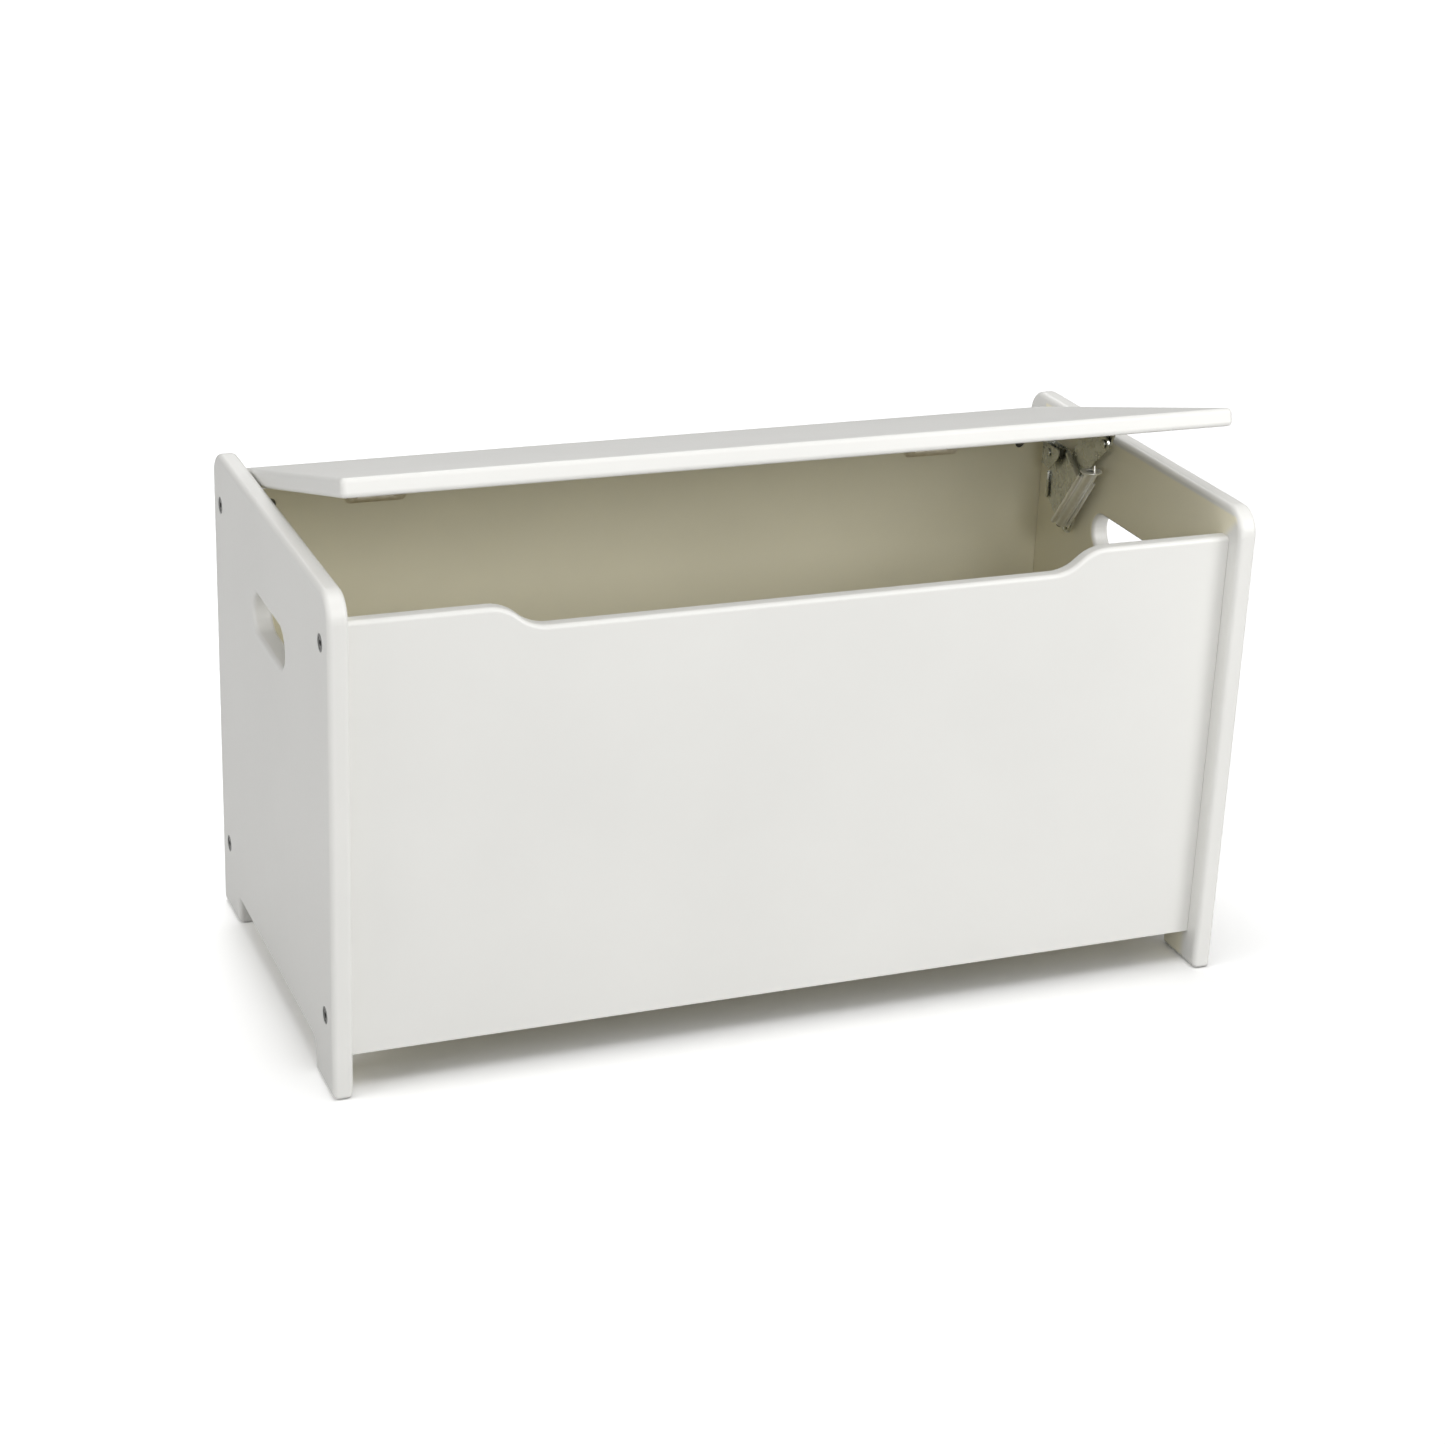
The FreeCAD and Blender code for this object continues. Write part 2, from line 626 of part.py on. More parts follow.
def wall_bracket():
    """Channel: a base on the side panel, a web behind the pivot and an outer ear."""
    y, z = wall_pivot
    web_y = y + channel_back
    back_y = web_y + support_plate
    top = z + channel_rise
    low = top - channel_height
    base = box(base_x0, side_inner_x, back_y - base_width, back_y, top - base_height, top)
    base = base.makeFillet(pivot_eye_radius, edges_along(base, Vec(1, 0, 0), lambda c: c.y < web_y))
    web = box(ear_x0, side_inner_x, web_y, back_y, low, top)
    nose_y = back_y - ear_length
    outline = [(back_y, low), (back_y, top), (nose_y, top), (nose_y, z - ear_nose_drop),
               (y - ear_slope_run, low)]
    ear = extrude_x(polygon_x(outline), ear_x0, ear_x1)
    bracket = base.fuse([web, ear]).removeSplitter()
    for place in wall_screw_places():
        hole = disc_x(place, screw_radius + screw_clearance, base_x0 - 1, case_width)
        bracket = bracket.cut(hole)
    return bracket.cut(disc_x(wall_pivot, rivet_radius + rivet_clearance, ear_x0 - 1, ear_x1 + 1))


def lower_arm():
    """Broad plate from the wall pivot down to the elbow."""
    outline = steps_from(wall_pivot, lower_arm_top)
    outline += steps_from(elbow, lower_arm_toe)
    outline += steps_from(wall_pivot, lower_arm_rear)
    plate = extrude_x(polygon_x(outline), lower_x0, lower_x1)
    plate = plate.makeFillet(arm_corner_radius, edges_along(plate, Vec(1, 0, 0)))
    plate = plate.fuse(disc_x(wall_pivot, pivot_eye_radius, lower_x0, lower_x1)).removeSplitter()
    return pivot_hole(pivot_hole(plate, elbow), wall_pivot)


def upper_arm():
    """Plate from the elbow to the lid pivot: narrow behind the tube, broad above it."""
    start = Vec(0, elbow[0], elbow[1])
    front = start - tube_side * upper_arm_front_lap
    rear = start + tube_side * upper_arm_rear_lap
    tube_end = (tube_high.y, tube_high.z)
    outline = [(front.y, front.z), (rear.y, rear.z)]
    outline += steps_from(tube_end, [upper_arm_notch])
    outline += steps_from(lid_pivot, upper_arm_rear + upper_arm_tip)
    outline += steps_from(tube_end, [upper_arm_throat])
    plate = extrude_x(polygon_x(outline), upper_x0, upper_x1)
    plate = plate.makeFillet(upper_arm_corner_radius, edges_along(plate, Vec(1, 0, 0)))
    plate = plate.fuse(disc_x(elbow, elbow_eye_radius, upper_x0, upper_x1)).removeSplitter()
    plate = plate.fuse(disc_x(lid_pivot, pivot_eye_radius, upper_x0, upper_x1)).removeSplitter()
    return pivot_hole(pivot_hole(plate, elbow), lid_pivot)


def above_tube(x_reach, height):
    """Block whose level underside passes through the middle of the tube's upper end."""
    return box(tube_x - x_reach, tube_x + x_reach, tube_high.y - x_reach, tube_high.y + x_reach,
               tube_high.z, tube_high.z + height)


def spring_tube():
    """Rolled tube on the upper arm's face, cut level at its upper end."""
    past = tube_high + tube_way * (tube_radius * 2)
    tube = rod(tube_radius, tube_low, past)
    tube = tube.cut(rod(tube_radius - tube_wall, tube_low - tube_way, past + tube_way))
    return tube.cut(above_tube(tube_radius * 4, tube_radius * 6))


def spring_collar():
    """Level ring on the tube's upper end, with a pointed lug in front."""
    ring = Part.makeCylinder(collar_radius, collar_thickness, tube_high)
    ring = ring.cut(Part.makeCylinder(collar_bore, collar_thickness, tube_high))
    corner = (tube_high.y - collar_radius + lug_setback, tube_high.z)
    lug = polygon_x(steps_from(corner, [(0, 0), (lug_width, 0), (lug_lean, lug_height)]))
    return ring.fuse(extrude_x(lug, tube_x - lug_thickness / 2, tube_x + lug_thickness / 2))


def coil_spring():
    """Helical spring between the plunger and the collar."""
    length = tube_length - plunger_in_tube - tube_radius - 2 * spring_wire_radius
    helix = Part.makeHelix(spring_pitch, length, spring_radius)
    section = Part.Circle(Vec(spring_radius, 0, 0), Vec(0, 1, 0), spring_wire_radius)
    coil = Part.Wire(helix.Edges).makePipeShell([Part.Wire([section.toShape()])], True, True)
    turn = FreeCAD.Rotation(Vec(0, 0, 1), tube_way)
    start = tube_low + tube_way * (plunger_in_tube + spring_wire_radius + spring_end_gap)
    coil.Placement = FreeCAD.Placement(start, turn)
    return coil


def plunger():
    """Plunger guided in the tube's lower end; the spring presses it against the elbow."""
    guide_radius = tube_radius - tube_wall - plunger_clearance
    guide = rod(guide_radius, tube_low, tube_low + tube_way * plunger_in_tube)
    nose = rod(plunger_radius, tube_low - tube_way * plunger_reach, tube_low)
    tip = [edge for edge in nose.Edges if isinstance(edge.Curve, Part.Circle)
           and (edge.CenterOfMass - tube_low).Length > plunger_reach / 2]
    return guide.fuse(nose.makeFillet(plunger_nose_radius, tip))


def rivet(centre, head_x, tail_x):
    """Rivet along X: a head before head_x, a shank, and a formed tail past tail_x."""
    shape = disc_x(centre, rivet_radius, head_x, tail_x)
    head = disc_x(centre, rivet_head_radius, head_x - rivet_head_height, head_x)
    rim = [edge for edge in head.Edges if isinstance(edge.Curve, Part.Circle)
           and edge.CenterOfMass.x < head_x - rivet_head_height / 2]
    head = head.makeFillet(rivet_head_height * rivet_head_rounding, rim)
    tail = disc_x(centre, rivet_tail_radius, tail_x, tail_x + rivet_tail_height)
    return shape.fuse(head).fuse(tail)


def wall_rivet():
    """Rivet fixed in the outer ear, with a shoulder that spaces the lower arm."""
    shape = rivet(wall_pivot, ear_x0, lower_x1 + rivet_side_gap)
    return shape.fuse(disc_x(wall_pivot, rivet_shoulder_radius, ear_x1, lower_x0 - rivet_side_gap))


def lid_bracket():
    """Angle: a base under the lid and an ear that hangs down to the lid pivot, drawn closed."""
    y = closed_lid_pivot_y
    z = closed_lid_pivot_z
    eye = lid_eye_radius
    half = bracket_screw_spacing / 2 + lid_bracket_margin
    skirt_z = lid_under_z - lid_bracket_skirt
    base = box(lid_bracket_x - lid_bracket_margin, lower_x1, y - half, y + half,
               lid_under_z - support_plate, lid_under_z)
    corners = edges_along(base, Vec(0, 0, 1), lambda c: c.x < lid_bracket_x)
    base = base.makeFillet(lid_bracket_corner_radius, corners)
    outline = [(y - half, lid_under_z), (y + half, lid_under_z), (y + half, skirt_z),
               (y + eye, z), (y - eye, z), (y - half, skirt_z)]
    ear = extrude_x(polygon_x(outline), lower_x0, lower_x1)
    bracket = base.fuse(ear).fuse(disc_x((y, z), eye, lower_x0, lower_x1)).removeSplitter()
    bracket = pivot_hole(bracket, (y, z))
    for screw_y in lid_bracket_screw_y:
        start = Vec(lid_bracket_x, screw_y, lid_under_z - 2 * support_plate)
        bracket = bracket.cut(rod(screw_radius + screw_clearance, start, start + Vec(0, 0, 10)))
    return opened(bracket)


def wall_screws():
    """Screws of the wall bracket."""
    return [screw(Vec(base_x0, y, z), Vec(1, 0, 0)) for y, z in wall_screw_places()]


# ---- write every node ---------------------------------------------------------------------------
def main():
    """Build the toy box and write its parts."""
    os.makedirs("parts", exist_ok=True)
    side = right_side_panel()
    save("left_side_panel", mirrored(side))
    for y, z in wall_screw_places():
        start = Vec(side_inner_x - 1, y, z)
        side = side.cut(rod(screw_radius + screw_clearance, start, start + Vec(screw_length + 1, 0, 0)))
    save("right_side_panel", side)
    save("front_panel", front_panel())
    save("back_panel", back_panel())
    save("bottom_panel", bottom_panel())
    save("connector_bolts", both_sides([connector_bolt(y, z) for y, z in bolt_places()]))
    nuts = [barrel_nut(y, z, inner_y)
            for y, inner_y in ((front_bolt_y, front_inner_y), (back_bolt_y, back_inner_y))
            for z in (bolt_low_z, bolt_high_z)]
    save("barrel_nuts", both_sides(nuts))
    save("locating_dowels", both_sides([dowel(y, z) for y, z in dowel_places()]))
    save("lid", lid())
    for sign, name in ((-1, "left"), (1, "right")):
        save(name + "_hinge_back_leaf", back_leaf(sign))
        save(name + "_hinge_lid_leaf", lid_leaf(sign))
        save(name + "_hinge_pin", hinge_pin(sign))
    save("hinge_back_screws", back_screws())
    save("hinge_lid_screws", lid_screw_shapes(hinge_leaf_thickness))
    save("support_wall_bracket", wall_bracket())
    save("support_wall_screws", wall_screws())
    save("support_wall_rivet", wall_rivet())
    save("support_lower_arm", lower_arm())
    save("support_upper_arm", upper_arm())
    save("support_elbow_rivet", rivet(elbow, upper_x0, upper_x1))
    save("support_spring_tube", spring_tube())
    save("support_spring_collar", spring_collar())
    save("support_spring", coil_spring())
    save("support_plunger", plunger())
    save("support_lid_bracket", lid_bracket())
    save("support_lid_rivet", rivet(lid_pivot, upper_x0 - rivet_side_gap, lower_x1))
    save("support_lid_screws", lid_screw_shapes(support_plate))


main()
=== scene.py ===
"""Low toy chest of off-white painted boards, its lid part open on a folding spring support."""
import json
import math

import bpy
from mathutils import Matrix, Vector


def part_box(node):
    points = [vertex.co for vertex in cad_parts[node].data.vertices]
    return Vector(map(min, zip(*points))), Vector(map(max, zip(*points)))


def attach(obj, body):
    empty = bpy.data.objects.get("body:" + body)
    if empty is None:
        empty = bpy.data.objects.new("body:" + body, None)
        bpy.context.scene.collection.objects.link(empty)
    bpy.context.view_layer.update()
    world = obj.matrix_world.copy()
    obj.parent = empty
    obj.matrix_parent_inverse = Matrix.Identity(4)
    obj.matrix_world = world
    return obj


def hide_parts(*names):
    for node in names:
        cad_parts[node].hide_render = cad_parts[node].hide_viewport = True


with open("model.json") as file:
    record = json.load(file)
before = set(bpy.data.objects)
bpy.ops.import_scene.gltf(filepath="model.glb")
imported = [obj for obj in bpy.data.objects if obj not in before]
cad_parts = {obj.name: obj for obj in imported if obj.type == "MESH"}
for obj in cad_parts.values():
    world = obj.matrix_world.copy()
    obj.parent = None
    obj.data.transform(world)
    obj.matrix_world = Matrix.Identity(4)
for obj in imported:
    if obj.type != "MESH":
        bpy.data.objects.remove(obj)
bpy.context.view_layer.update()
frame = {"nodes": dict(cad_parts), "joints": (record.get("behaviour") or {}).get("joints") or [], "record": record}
bpy.ops.object.select_all(action="DESELECT")
cad_nodes = frame["nodes"]


# ---- materials ----------------------------------------------------------------------------------
def new_material(name):
    """Empty node material with its output and a Principled shader."""
    material = bpy.data.materials.new(name)
    material.use_nodes = True
    tree = material.node_tree
    tree.nodes.clear()
    shader = tree.nodes.new("ShaderNodeBsdfPrincipled")
    output = tree.nodes.new("ShaderNodeOutputMaterial")
    tree.links.new(shader.outputs["BSDF"], output.inputs["Surface"])
    return material, tree, shader


def place_on_object(tree, scale=(1, 1, 1)):
    """Object coordinates, stretched by a scale on each axis."""
    coordinates = tree.nodes.new("ShaderNodeTexCoord")
    mapping = tree.nodes.new("ShaderNodeMapping")
    mapping.inputs["Scale"].default_value = scale
    tree.links.new(coordinates.outputs["Object"], mapping.inputs["Vector"])
    return mapping.outputs["Vector"]


def noise(tree, vector, scale, detail=2.0, rough=0.5):
    """Noise whose features are about 1 / scale metres apart."""
    node = tree.nodes.new("ShaderNodeTexNoise")
    node.inputs["Scale"].default_value = scale
    node.inputs["Detail"].default_value = detail
    node.inputs["Roughness"].default_value = rough
    tree.links.new(vector, node.inputs["Vector"])
    return node.outputs["Fac"]


def ramp(tree, value, stops):
    """Colour ramp through (position, colour) stops."""
    node = tree.nodes.new("ShaderNodeValToRGB")
    elements = node.color_ramp.elements
    while len(elements) < len(stops):
        elements.new(0.5)
    for element, (position, colour) in zip(elements, stops):
        element.position = position
        element.color = (*colour, 1)
    tree.links.new(value, node.inputs["Fac"])
    return node.outputs["Color"]


def span(tree, value, low, high):
    """Map a 0.3 to 0.7 noise value onto low to high."""
    node = tree.nodes.new("ShaderNodeMapRange")
    node.inputs["From Min"].default_value = 0.3
    node.inputs["From Max"].default_value = 0.7
    node.inputs["To Min"].default_value = low
    node.inputs["To Max"].default_value = high
    tree.links.new(value, node.inputs["Value"])
    return node.outputs["Result"]


def bump(tree, value, strength, distance, under=None):
    """Bump from a height value, on top of another bump if one is given."""
    node = tree.nodes.new("ShaderNodeBump")
    node.inputs["Strength"].default_value = strength
    node.inputs["Distance"].default_value = distance
    tree.links.new(value, node.inputs["Height"])
    if under is not None:
        tree.links.new(under, node.inputs["Normal"])
    return node.outputs["Normal"]


def painted_board(name, outside, inside=None, room=None):
    """Satin paint sprayed on fibreboard: faint orange peel, slight tone and gloss changes.

    Faces of the room inside the box, as the mask below takes it, wear the inside colour, which is painted shade.
    """
    material, tree, shader = new_material(name)
    place = place_on_object(tree)
    broad = noise(tree, place, 5.0, 3.0)
    peel = noise(tree, place, 420.0, 1.0)
    fibre = noise(tree, place, 1500.0, 2.0)
    colour = ramp(tree, broad, [(0.35, [c * 0.975 for c in outside]), (0.65, outside)])
    # the inside colour is painted shade, laid on the box's inner faces by the mask
    if inside is not None:
        inner = ramp(tree, broad, [(0.35, [c * 0.96 for c in inside]), (0.65, inside)])
        mix = tree.nodes.new("ShaderNodeMix")
        mix.data_type = "RGBA"
        tree.links.new(painted_shade_mask(tree, place, *room), mix.inputs["Factor"])
        tree.links.new(colour, mix.inputs["A"])
        tree.links.new(inner, mix.inputs["B"])
        colour = mix.outputs["Result"]
    tree.links.new(colour, shader.inputs["Base Color"])
    tree.links.new(span(tree, peel, 0.36, 0.44), shader.inputs["Roughness"])
    lower = bump(tree, peel, 0.05, 0.0004)
    tree.links.new(bump(tree, fibre, 0.03, 0.0001, lower), shader.inputs["Normal"])
    return material


def worked(tree, operation, first, second):
    """Math node on two values, each a socket or a number."""
    node = tree.nodes.new("ShaderNodeMath")
    node.operation = operation
    for socket, value in zip(node.inputs, (first, second)):
        if isinstance(value, (int, float)):
            socket.default_value = value
        else:
            tree.links.new(value, socket)
    return node.outputs[0]


def rise(tree, value, start, end):
    """Smooth step of a value: 0 at start, 1 at end."""
    node = tree.nodes.new("ShaderNodeMapRange")
    node.interpolation_type = "SMOOTHSTEP"
    node.inputs["From Min"].default_value = start
    node.inputs["From Max"].default_value = end
    tree.links.new(value, node.inputs["Value"])
    return node.outputs["Result"]


def painted_shade_mask(tree, place, half_width, front_y, rear_y, top, blend):
    """Mask of painted shade: 1 on the box's inner faces, up to just below their top edges.

    A blend height lets the painted shade run forward above it, past the front panel's upper edge.
    """
    split = tree.nodes.new("ShaderNodeSeparateXYZ")
    tree.links.new(place, split.inputs[0])
    x, y, z = split.outputs
    skin = 0.0003
    within = rise(tree, worked(tree, "ABSOLUTE", x, 0.0), half_width + 2 * skin, half_width + skin)
    behind = y
    if blend:
        over_edge = worked(tree, "MAXIMUM", worked(tree, "SUBTRACT", z, blend), 0.0)
        behind = worked(tree, "ADD", y, over_edge)
    fade = 0.014 if blend else skin
    ahead = rise(tree, behind, front_y - skin - fade, front_y - skin)
    astern = rise(tree, y, rear_y + 2 * skin, rear_y + skin)
    below = rise(tree, z, top - 0.006, top - 0.009)
    walls = worked(tree, "MULTIPLY", worked(tree, "MULTIPLY", within, ahead), astern)
    return worked(tree, "MULTIPLY", walls, below)


def plated(name, low, high, rough_low, rough_high, grain=(1, 1, 1), grain_strength=0.06, metal=1.0):
    """Plated steel between a low and a high tone: cloudy plate, with drawn grain along one axis."""
    material, tree, shader = new_material(name)
    shader.inputs["Metallic"].default_value = metal
    streaks = noise(tree, place_on_object(tree, grain), 900.0, 2.0)
    cloud = noise(tree, place_on_object(tree), 160.0, 3.0)
    tree.links.new(ramp(tree, cloud, [(0.3, low), (0.7, high)]), shader.inputs["Base Color"])
    tree.links.new(span(tree, cloud, rough_low, rough_high), shader.inputs["Roughness"])
    tree.links.new(bump(tree, streaks, grain_strength, 0.0002), shader.inputs["Normal"])
    return material


def bare_beech():
    """Turned beech: grain along X with short flecks."""
    material, tree, shader = new_material("beech")
    grain = noise(tree, place_on_object(tree, (0.06, 1, 1)), 900.0, 3.0)
    flecks = noise(tree, place_on_object(tree, (0.25, 1, 1)), 2500.0, 1.0)
    tree.links.new(ramp(tree, grain, [(0.3, (0.52, 0.35, 0.19)), (0.7, (0.68, 0.50, 0.30))]),
                   shader.inputs["Base Color"])
    tree.links.new(span(tree, flecks, 0.5, 0.7), shader.inputs["Roughness"])
    tree.links.new(bump(tree, grain, 0.3, 0.0002), shader.inputs["Normal"])
    return material


def moulded_acetal():
    """Dark moulded plastic with a fine spark-eroded texture."""
    material, tree, shader = new_material("plunger_plastic")
    fine = noise(tree, place_on_object(tree), 2600.0, 2.0)
    tree.links.new(ramp(tree, fine, [(0.3, (0.020, 0.018, 0.015)), (0.7, (0.034, 0.031, 0.027))]),
                   shader.inputs["Base Color"])
    tree.links.new(span(tree, fine, 0.38, 0.55), shader.inputs["Roughness"])
    tree.links.new(bump(tree, fine, 0.25, 0.0001), shader.inputs["Normal"])
    return material


outer_white = (0.800, 0.795, 0.765)
# inner and side colours are painted shade: warmer creams that stand in for the dim light inside the box
inner_painted_shade = (0.860, 0.820, 0.645)
side_painted_shade = (0.930, 0.885, 0.705)
side_low, side_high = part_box("right_side_panel")
front_low, front_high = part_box("front_panel")
back_low, back_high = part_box("back_panel")
room = (side_low.x, front_high.y, back_low.y, side_high.z)
paint = painted_board("painted_board", outer_white, inner_painted_shade, (*room, 0))
side_paint = painted_board("painted_sides", outer_white, side_painted_shade, (*room, front_high.z))
lid_paint = painted_board("painted_lid", outer_white)
beech = bare_beech()
acetal = moulded_acetal()
nickel = plated("nickel", (0.80, 0.75, 0.66), (0.90, 0.85, 0.76), 0.34, 0.46, (0.04, 1, 1))
dark_zinc = plated("dark_zinc", (0.16, 0.16, 0.15), (0.30, 0.30, 0.29), 0.26, 0.42)
zinc = plated("zinc_plate", (0.60, 0.61, 0.57), (0.70, 0.71, 0.67), 0.24, 0.32, (1, 0.05, 0.05), 0.02)
# painted highlight: a lighter copy of the zinc plate, standing in for highlights on the spring tube and collar
painted_highlight_zinc = plated("painted_highlight_zinc", (0.93, 0.93, 0.90), (0.98, 0.98, 0.96), 0.30, 0.38,
                     (1, 0.05, 0.05), 0.03, metal=0.8)
spring_steel = plated("spring_steel", (0.30, 0.30, 0.29), (0.42, 0.42, 0.40), 0.22, 0.32)
finish_of_slot = {
    "painted_board": paint, "beech": beech, "nickel": nickel, "dark_zinc": dark_zinc,
    "zinc_plate": zinc, "spring_steel": spring_steel, "plunger_plastic": acetal,
}


def give(piece, material):
    """Make a material the piece's only one."""
    piece.data.materials.clear()
    piece.data.materials.append(material)


for subpart in frame["record"]["subparts"]:
    give(cad_nodes[subpart["node"]], finish_of_slot[subpart["material_slot"]])
give(cad_nodes["lid"], lid_paint)
for side_panel in ("left_side_panel", "right_side_panel"):
    give(cad_nodes[side_panel], side_paint)


# ---- workshop: how pieces are made ----------------------------------------------------------------
MM = 0.001


def only(piece):
    """Make a piece the one selected, active object."""
    bpy.ops.object.select_all(action="DESELECT")
    piece.select_set(True)
    bpy.context.view_layer.objects.active = piece


def settled(piece):
    """Bring the piece's place, turn and size into its mesh."""
    only(piece)
    bpy.ops.object.transform_apply(location=True, rotation=True, scale=True)
    return piece


def modified(piece, kind, **settings):
    """Add a modifier with its settings and apply it."""
    only(piece)
    modifier = piece.modifiers.new(kind.lower(), kind)
    for setting, value in settings.items():
        setattr(modifier, setting, value)
    bpy.ops.object.modifier_apply(modifier=modifier.name)
    return piece


def eased(piece, width, segments=2, angle=35):
    """Round every sharp edge by a width in millimetres."""
    return modified(piece, "BEVEL", width=width * MM, segments=segments, limit_method="ANGLE",
                    angle_limit=math.radians(angle))


def cut(piece, *tools):
    """Take tools out of a piece and throw the tools away."""
    for tool in tools:
        modified(piece, "BOOLEAN", operation="DIFFERENCE", solver="EXACT", object=tool)
        bpy.data.objects.remove(tool)
    return piece


def welded(piece, *others):
    """One closed piece from several that overlap."""
    for other in others:
        modified(piece, "BOOLEAN", operation="UNION", solver="EXACT", object=other)
        bpy.data.objects.remove(other)
    return piece


def joined(pieces):
    """One object that holds the meshes of several pieces."""
    bpy.ops.object.select_all(action="DESELECT")
    for piece in pieces:
        piece.select_set(True)
    bpy.context.view_layer.objects.active = pieces[0]
    bpy.ops.object.join()
    return pieces[0]


def rod(radius, start, end, sides=40):
    """Round bar between two points, in millimetres."""
    start, end = Vector(start) * MM, Vector(end) * MM
    bpy.ops.mesh.primitive_cylinder_add(vertices=sides, radius=radius * MM, depth=(end - start).length,
                                        location=(start + end) / 2)
    bar = bpy.context.object
    bar.rotation_euler = (end - start).to_track_quat("Z", "Y").to_euler()
    return settled(bar)


def block(low, high):
    """Block between two corners, in millimetres."""
    low, high = Vector(low) * MM, Vector(high) * MM
    bpy.ops.mesh.primitive_cube_add(size=1, location=(low + high) / 2, scale=high - low)
    return settled(bpy.context.object)


def sheet(outline, x0, x1, corner=0.0):
    """Plate across X between x0 and x1 with (y, z) corners in millimetres, rounded by a radius."""
    bpy.ops.mesh.primitive_circle_add(vertices=len(outline), fill_type="NGON")
    plate = bpy.context.object
    for vertex, (y, z) in zip(plate.data.vertices, outline):
        vertex.co = Vector((x0, y, z)) * MM
    bpy.ops.object.mode_set(mode="EDIT")
    bpy.ops.mesh.select_all(action="SELECT")
    bpy.ops.mesh.extrude_region_move(TRANSFORM_OT_translate={"value": ((x1 - x0) * MM, 0, 0)})
    bpy.ops.mesh.select_all(action="SELECT")
    bpy.ops.mesh.normals_make_consistent(inside=False)
    bpy.ops.object.mode_set(mode="OBJECT")
    if corner:
        bend(plate, corner, lambda a, b: abs(a.x - b.x) > abs(x1 - x0) * MM * 0.9)
    return settled(plate)


def bend(piece, radius, wanted, segments=6):
    """Round the edges that a test on their two ends picks, by a radius in millimetres."""
    only(piece)
    bpy.ops.object.mode_set(mode="EDIT")
    bpy.ops.mesh.select_mode(type="EDGE")
    bpy.ops.mesh.select_all(action="DESELECT")
    bpy.ops.object.mode_set(mode="OBJECT")
    vertices = piece.data.vertices
    for edge in piece.data.edges:
        a, b = (vertices[index].co for index in edge.vertices)
        edge.select = wanted(a, b)
    bpy.ops.object.mode_set(mode="EDIT")
    bpy.ops.mesh.bevel(offset=radius * MM, segments=segments, affect="EDGES", clamp_overlap=True)
    bpy.ops.object.mode_set(mode="OBJECT")
    return piece


def placed(piece, place, facing=None):
    """Own copy of a piece that was made at the origin facing +Z, moved to a place in millimetres."""
    copy = piece.copy()
    copy.data = piece.data.copy()
    bpy.context.scene.collection.objects.link(copy)
    if facing is not None:
        copy.rotation_euler = Vector(facing).to_track_quat("Z", "Y").to_euler()
    copy.location = Vector(place) * MM
    return settled(copy)


def done(piece, name, material, slot, body, nodes):
    """Name a finished piece, shade and paint it, and put it on its body in place of its CAD nodes."""
    settled(piece)
    piece.name = piece.data.name = name
    bpy.ops.object.shade_smooth_by_angle(angle=math.radians(35))
    give(piece, material)
    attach(piece, body)
    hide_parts(*nodes)
    return piece


# ---- places that the frame gives, in millimetres --------------------------------------------------
def centre_of(node):
    """Middle of a CAD node's box."""
    node_low, node_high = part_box(node)
    return (node_low + node_high) / 2 / MM


joint_place = {joint["name"]: Vector(joint["pos_m"]) / MM for joint in frame["joints"]}
hinge_y, hinge_z = joint_place["lid_hinge"].yz
wall_y, wall_z = joint_place["support_wall_pivot"].yz
pivot_y, pivot_z = joint_place["support_lid_pivot"].yz
elbow_y, elbow_z = centre_of("support_elbow_rivet").yz
lid_angle = 15.8
side_x = side_low.x / MM
case_x = side_high.x / MM


def with_lid(piece):
    """Turn a piece that was drawn on the closed lid up with the lid."""
    axis = Vector((0, hinge_y, hinge_z)) * MM
    turn = Matrix.Rotation(math.radians(-lid_angle), 4, "X")
    piece.matrix_world = Matrix.Translation(axis) @ turn @ Matrix.Translation(-axis)
    return settled(piece)


# ---- bolts, nuts and screws -----------------------------------------------------------------------
BOLT_Z = (69, 402)
BOARD = 15                    # front and back panels
NUT_RECESS = 0.8              # a nut's slotted face below the panel's inner face
NUT_SETBACK = 26              # nut from the side panel's inner face
LEAF = 1.4                    # hinge leaf
PLATE = 1.5                   # brackets
HINGE_DROP = 3                # pin axis below the closed lid, and ahead of the back panel
HINGE_X = 279
SCREW_STEP = 19               # hinge screws each side of the hinge's middle
SCREW_RUN = 15.5              # hinge screws from the pin axis
WALL_SCREWS = ((-12, -14), (4, -20))
EAR_SCREWS = (-12, 12)
RIVET_HOLE = 2.55
SCREW_HOLE = 1.65


def connector_bolt():
    """Flat head with a hexagon socket over a plain neck, facing +Z with its face at the origin."""
    head = eased(rod(7.5, (0, 0, -3), (0, 0, 0), 64), 0.45, 3)
    dish = eased(rod(5.6, (0, 0, -0.35), (0, 0, 1), 64), 0.2, 2)
    socket = rod(2.9, (0, 0, -2.2), (0, 0, 1), 6)
    head = cut(head, dish, socket)
    neck = eased(rod(3, (0, 0, -53), (0, 0, -2.6), 32), 0.6, 2)
    return welded(head, neck)


def barrel_nut():
    """Cross dowel with a screwdriver slot, facing +Z with its face at the origin."""
    nut = eased(rod(5, (0, 0, -12), (0, 0, 0), 48), 0.5, 3)
    slot = block((-6, -0.7, -1.2), (6, 0.7, 1))
    thread = rod(3.05, (-6, 0, -6.7), (6, 0, -6.7), 32)
    return cut(nut, slot, thread)


def wood_screw():
    """Pan head with a cross recess over a pointed shank, facing +Z with its seat at the origin."""
    head = eased(rod(2.9, (0, 0, 0), (0, 0, 1), 48), 0.62, 4)
    for half_x, half_y in ((1.7, 0.36), (0.36, 1.7)):
        wing = block((-half_x, -half_y, 0.15), (half_x, half_y, 2))
        head = cut(head, wing)
    shank = eased(rod(1.5, (0, 0, -12), (0, 0, 0.1), 24), 0.9, 2)
    return welded(head, shank)


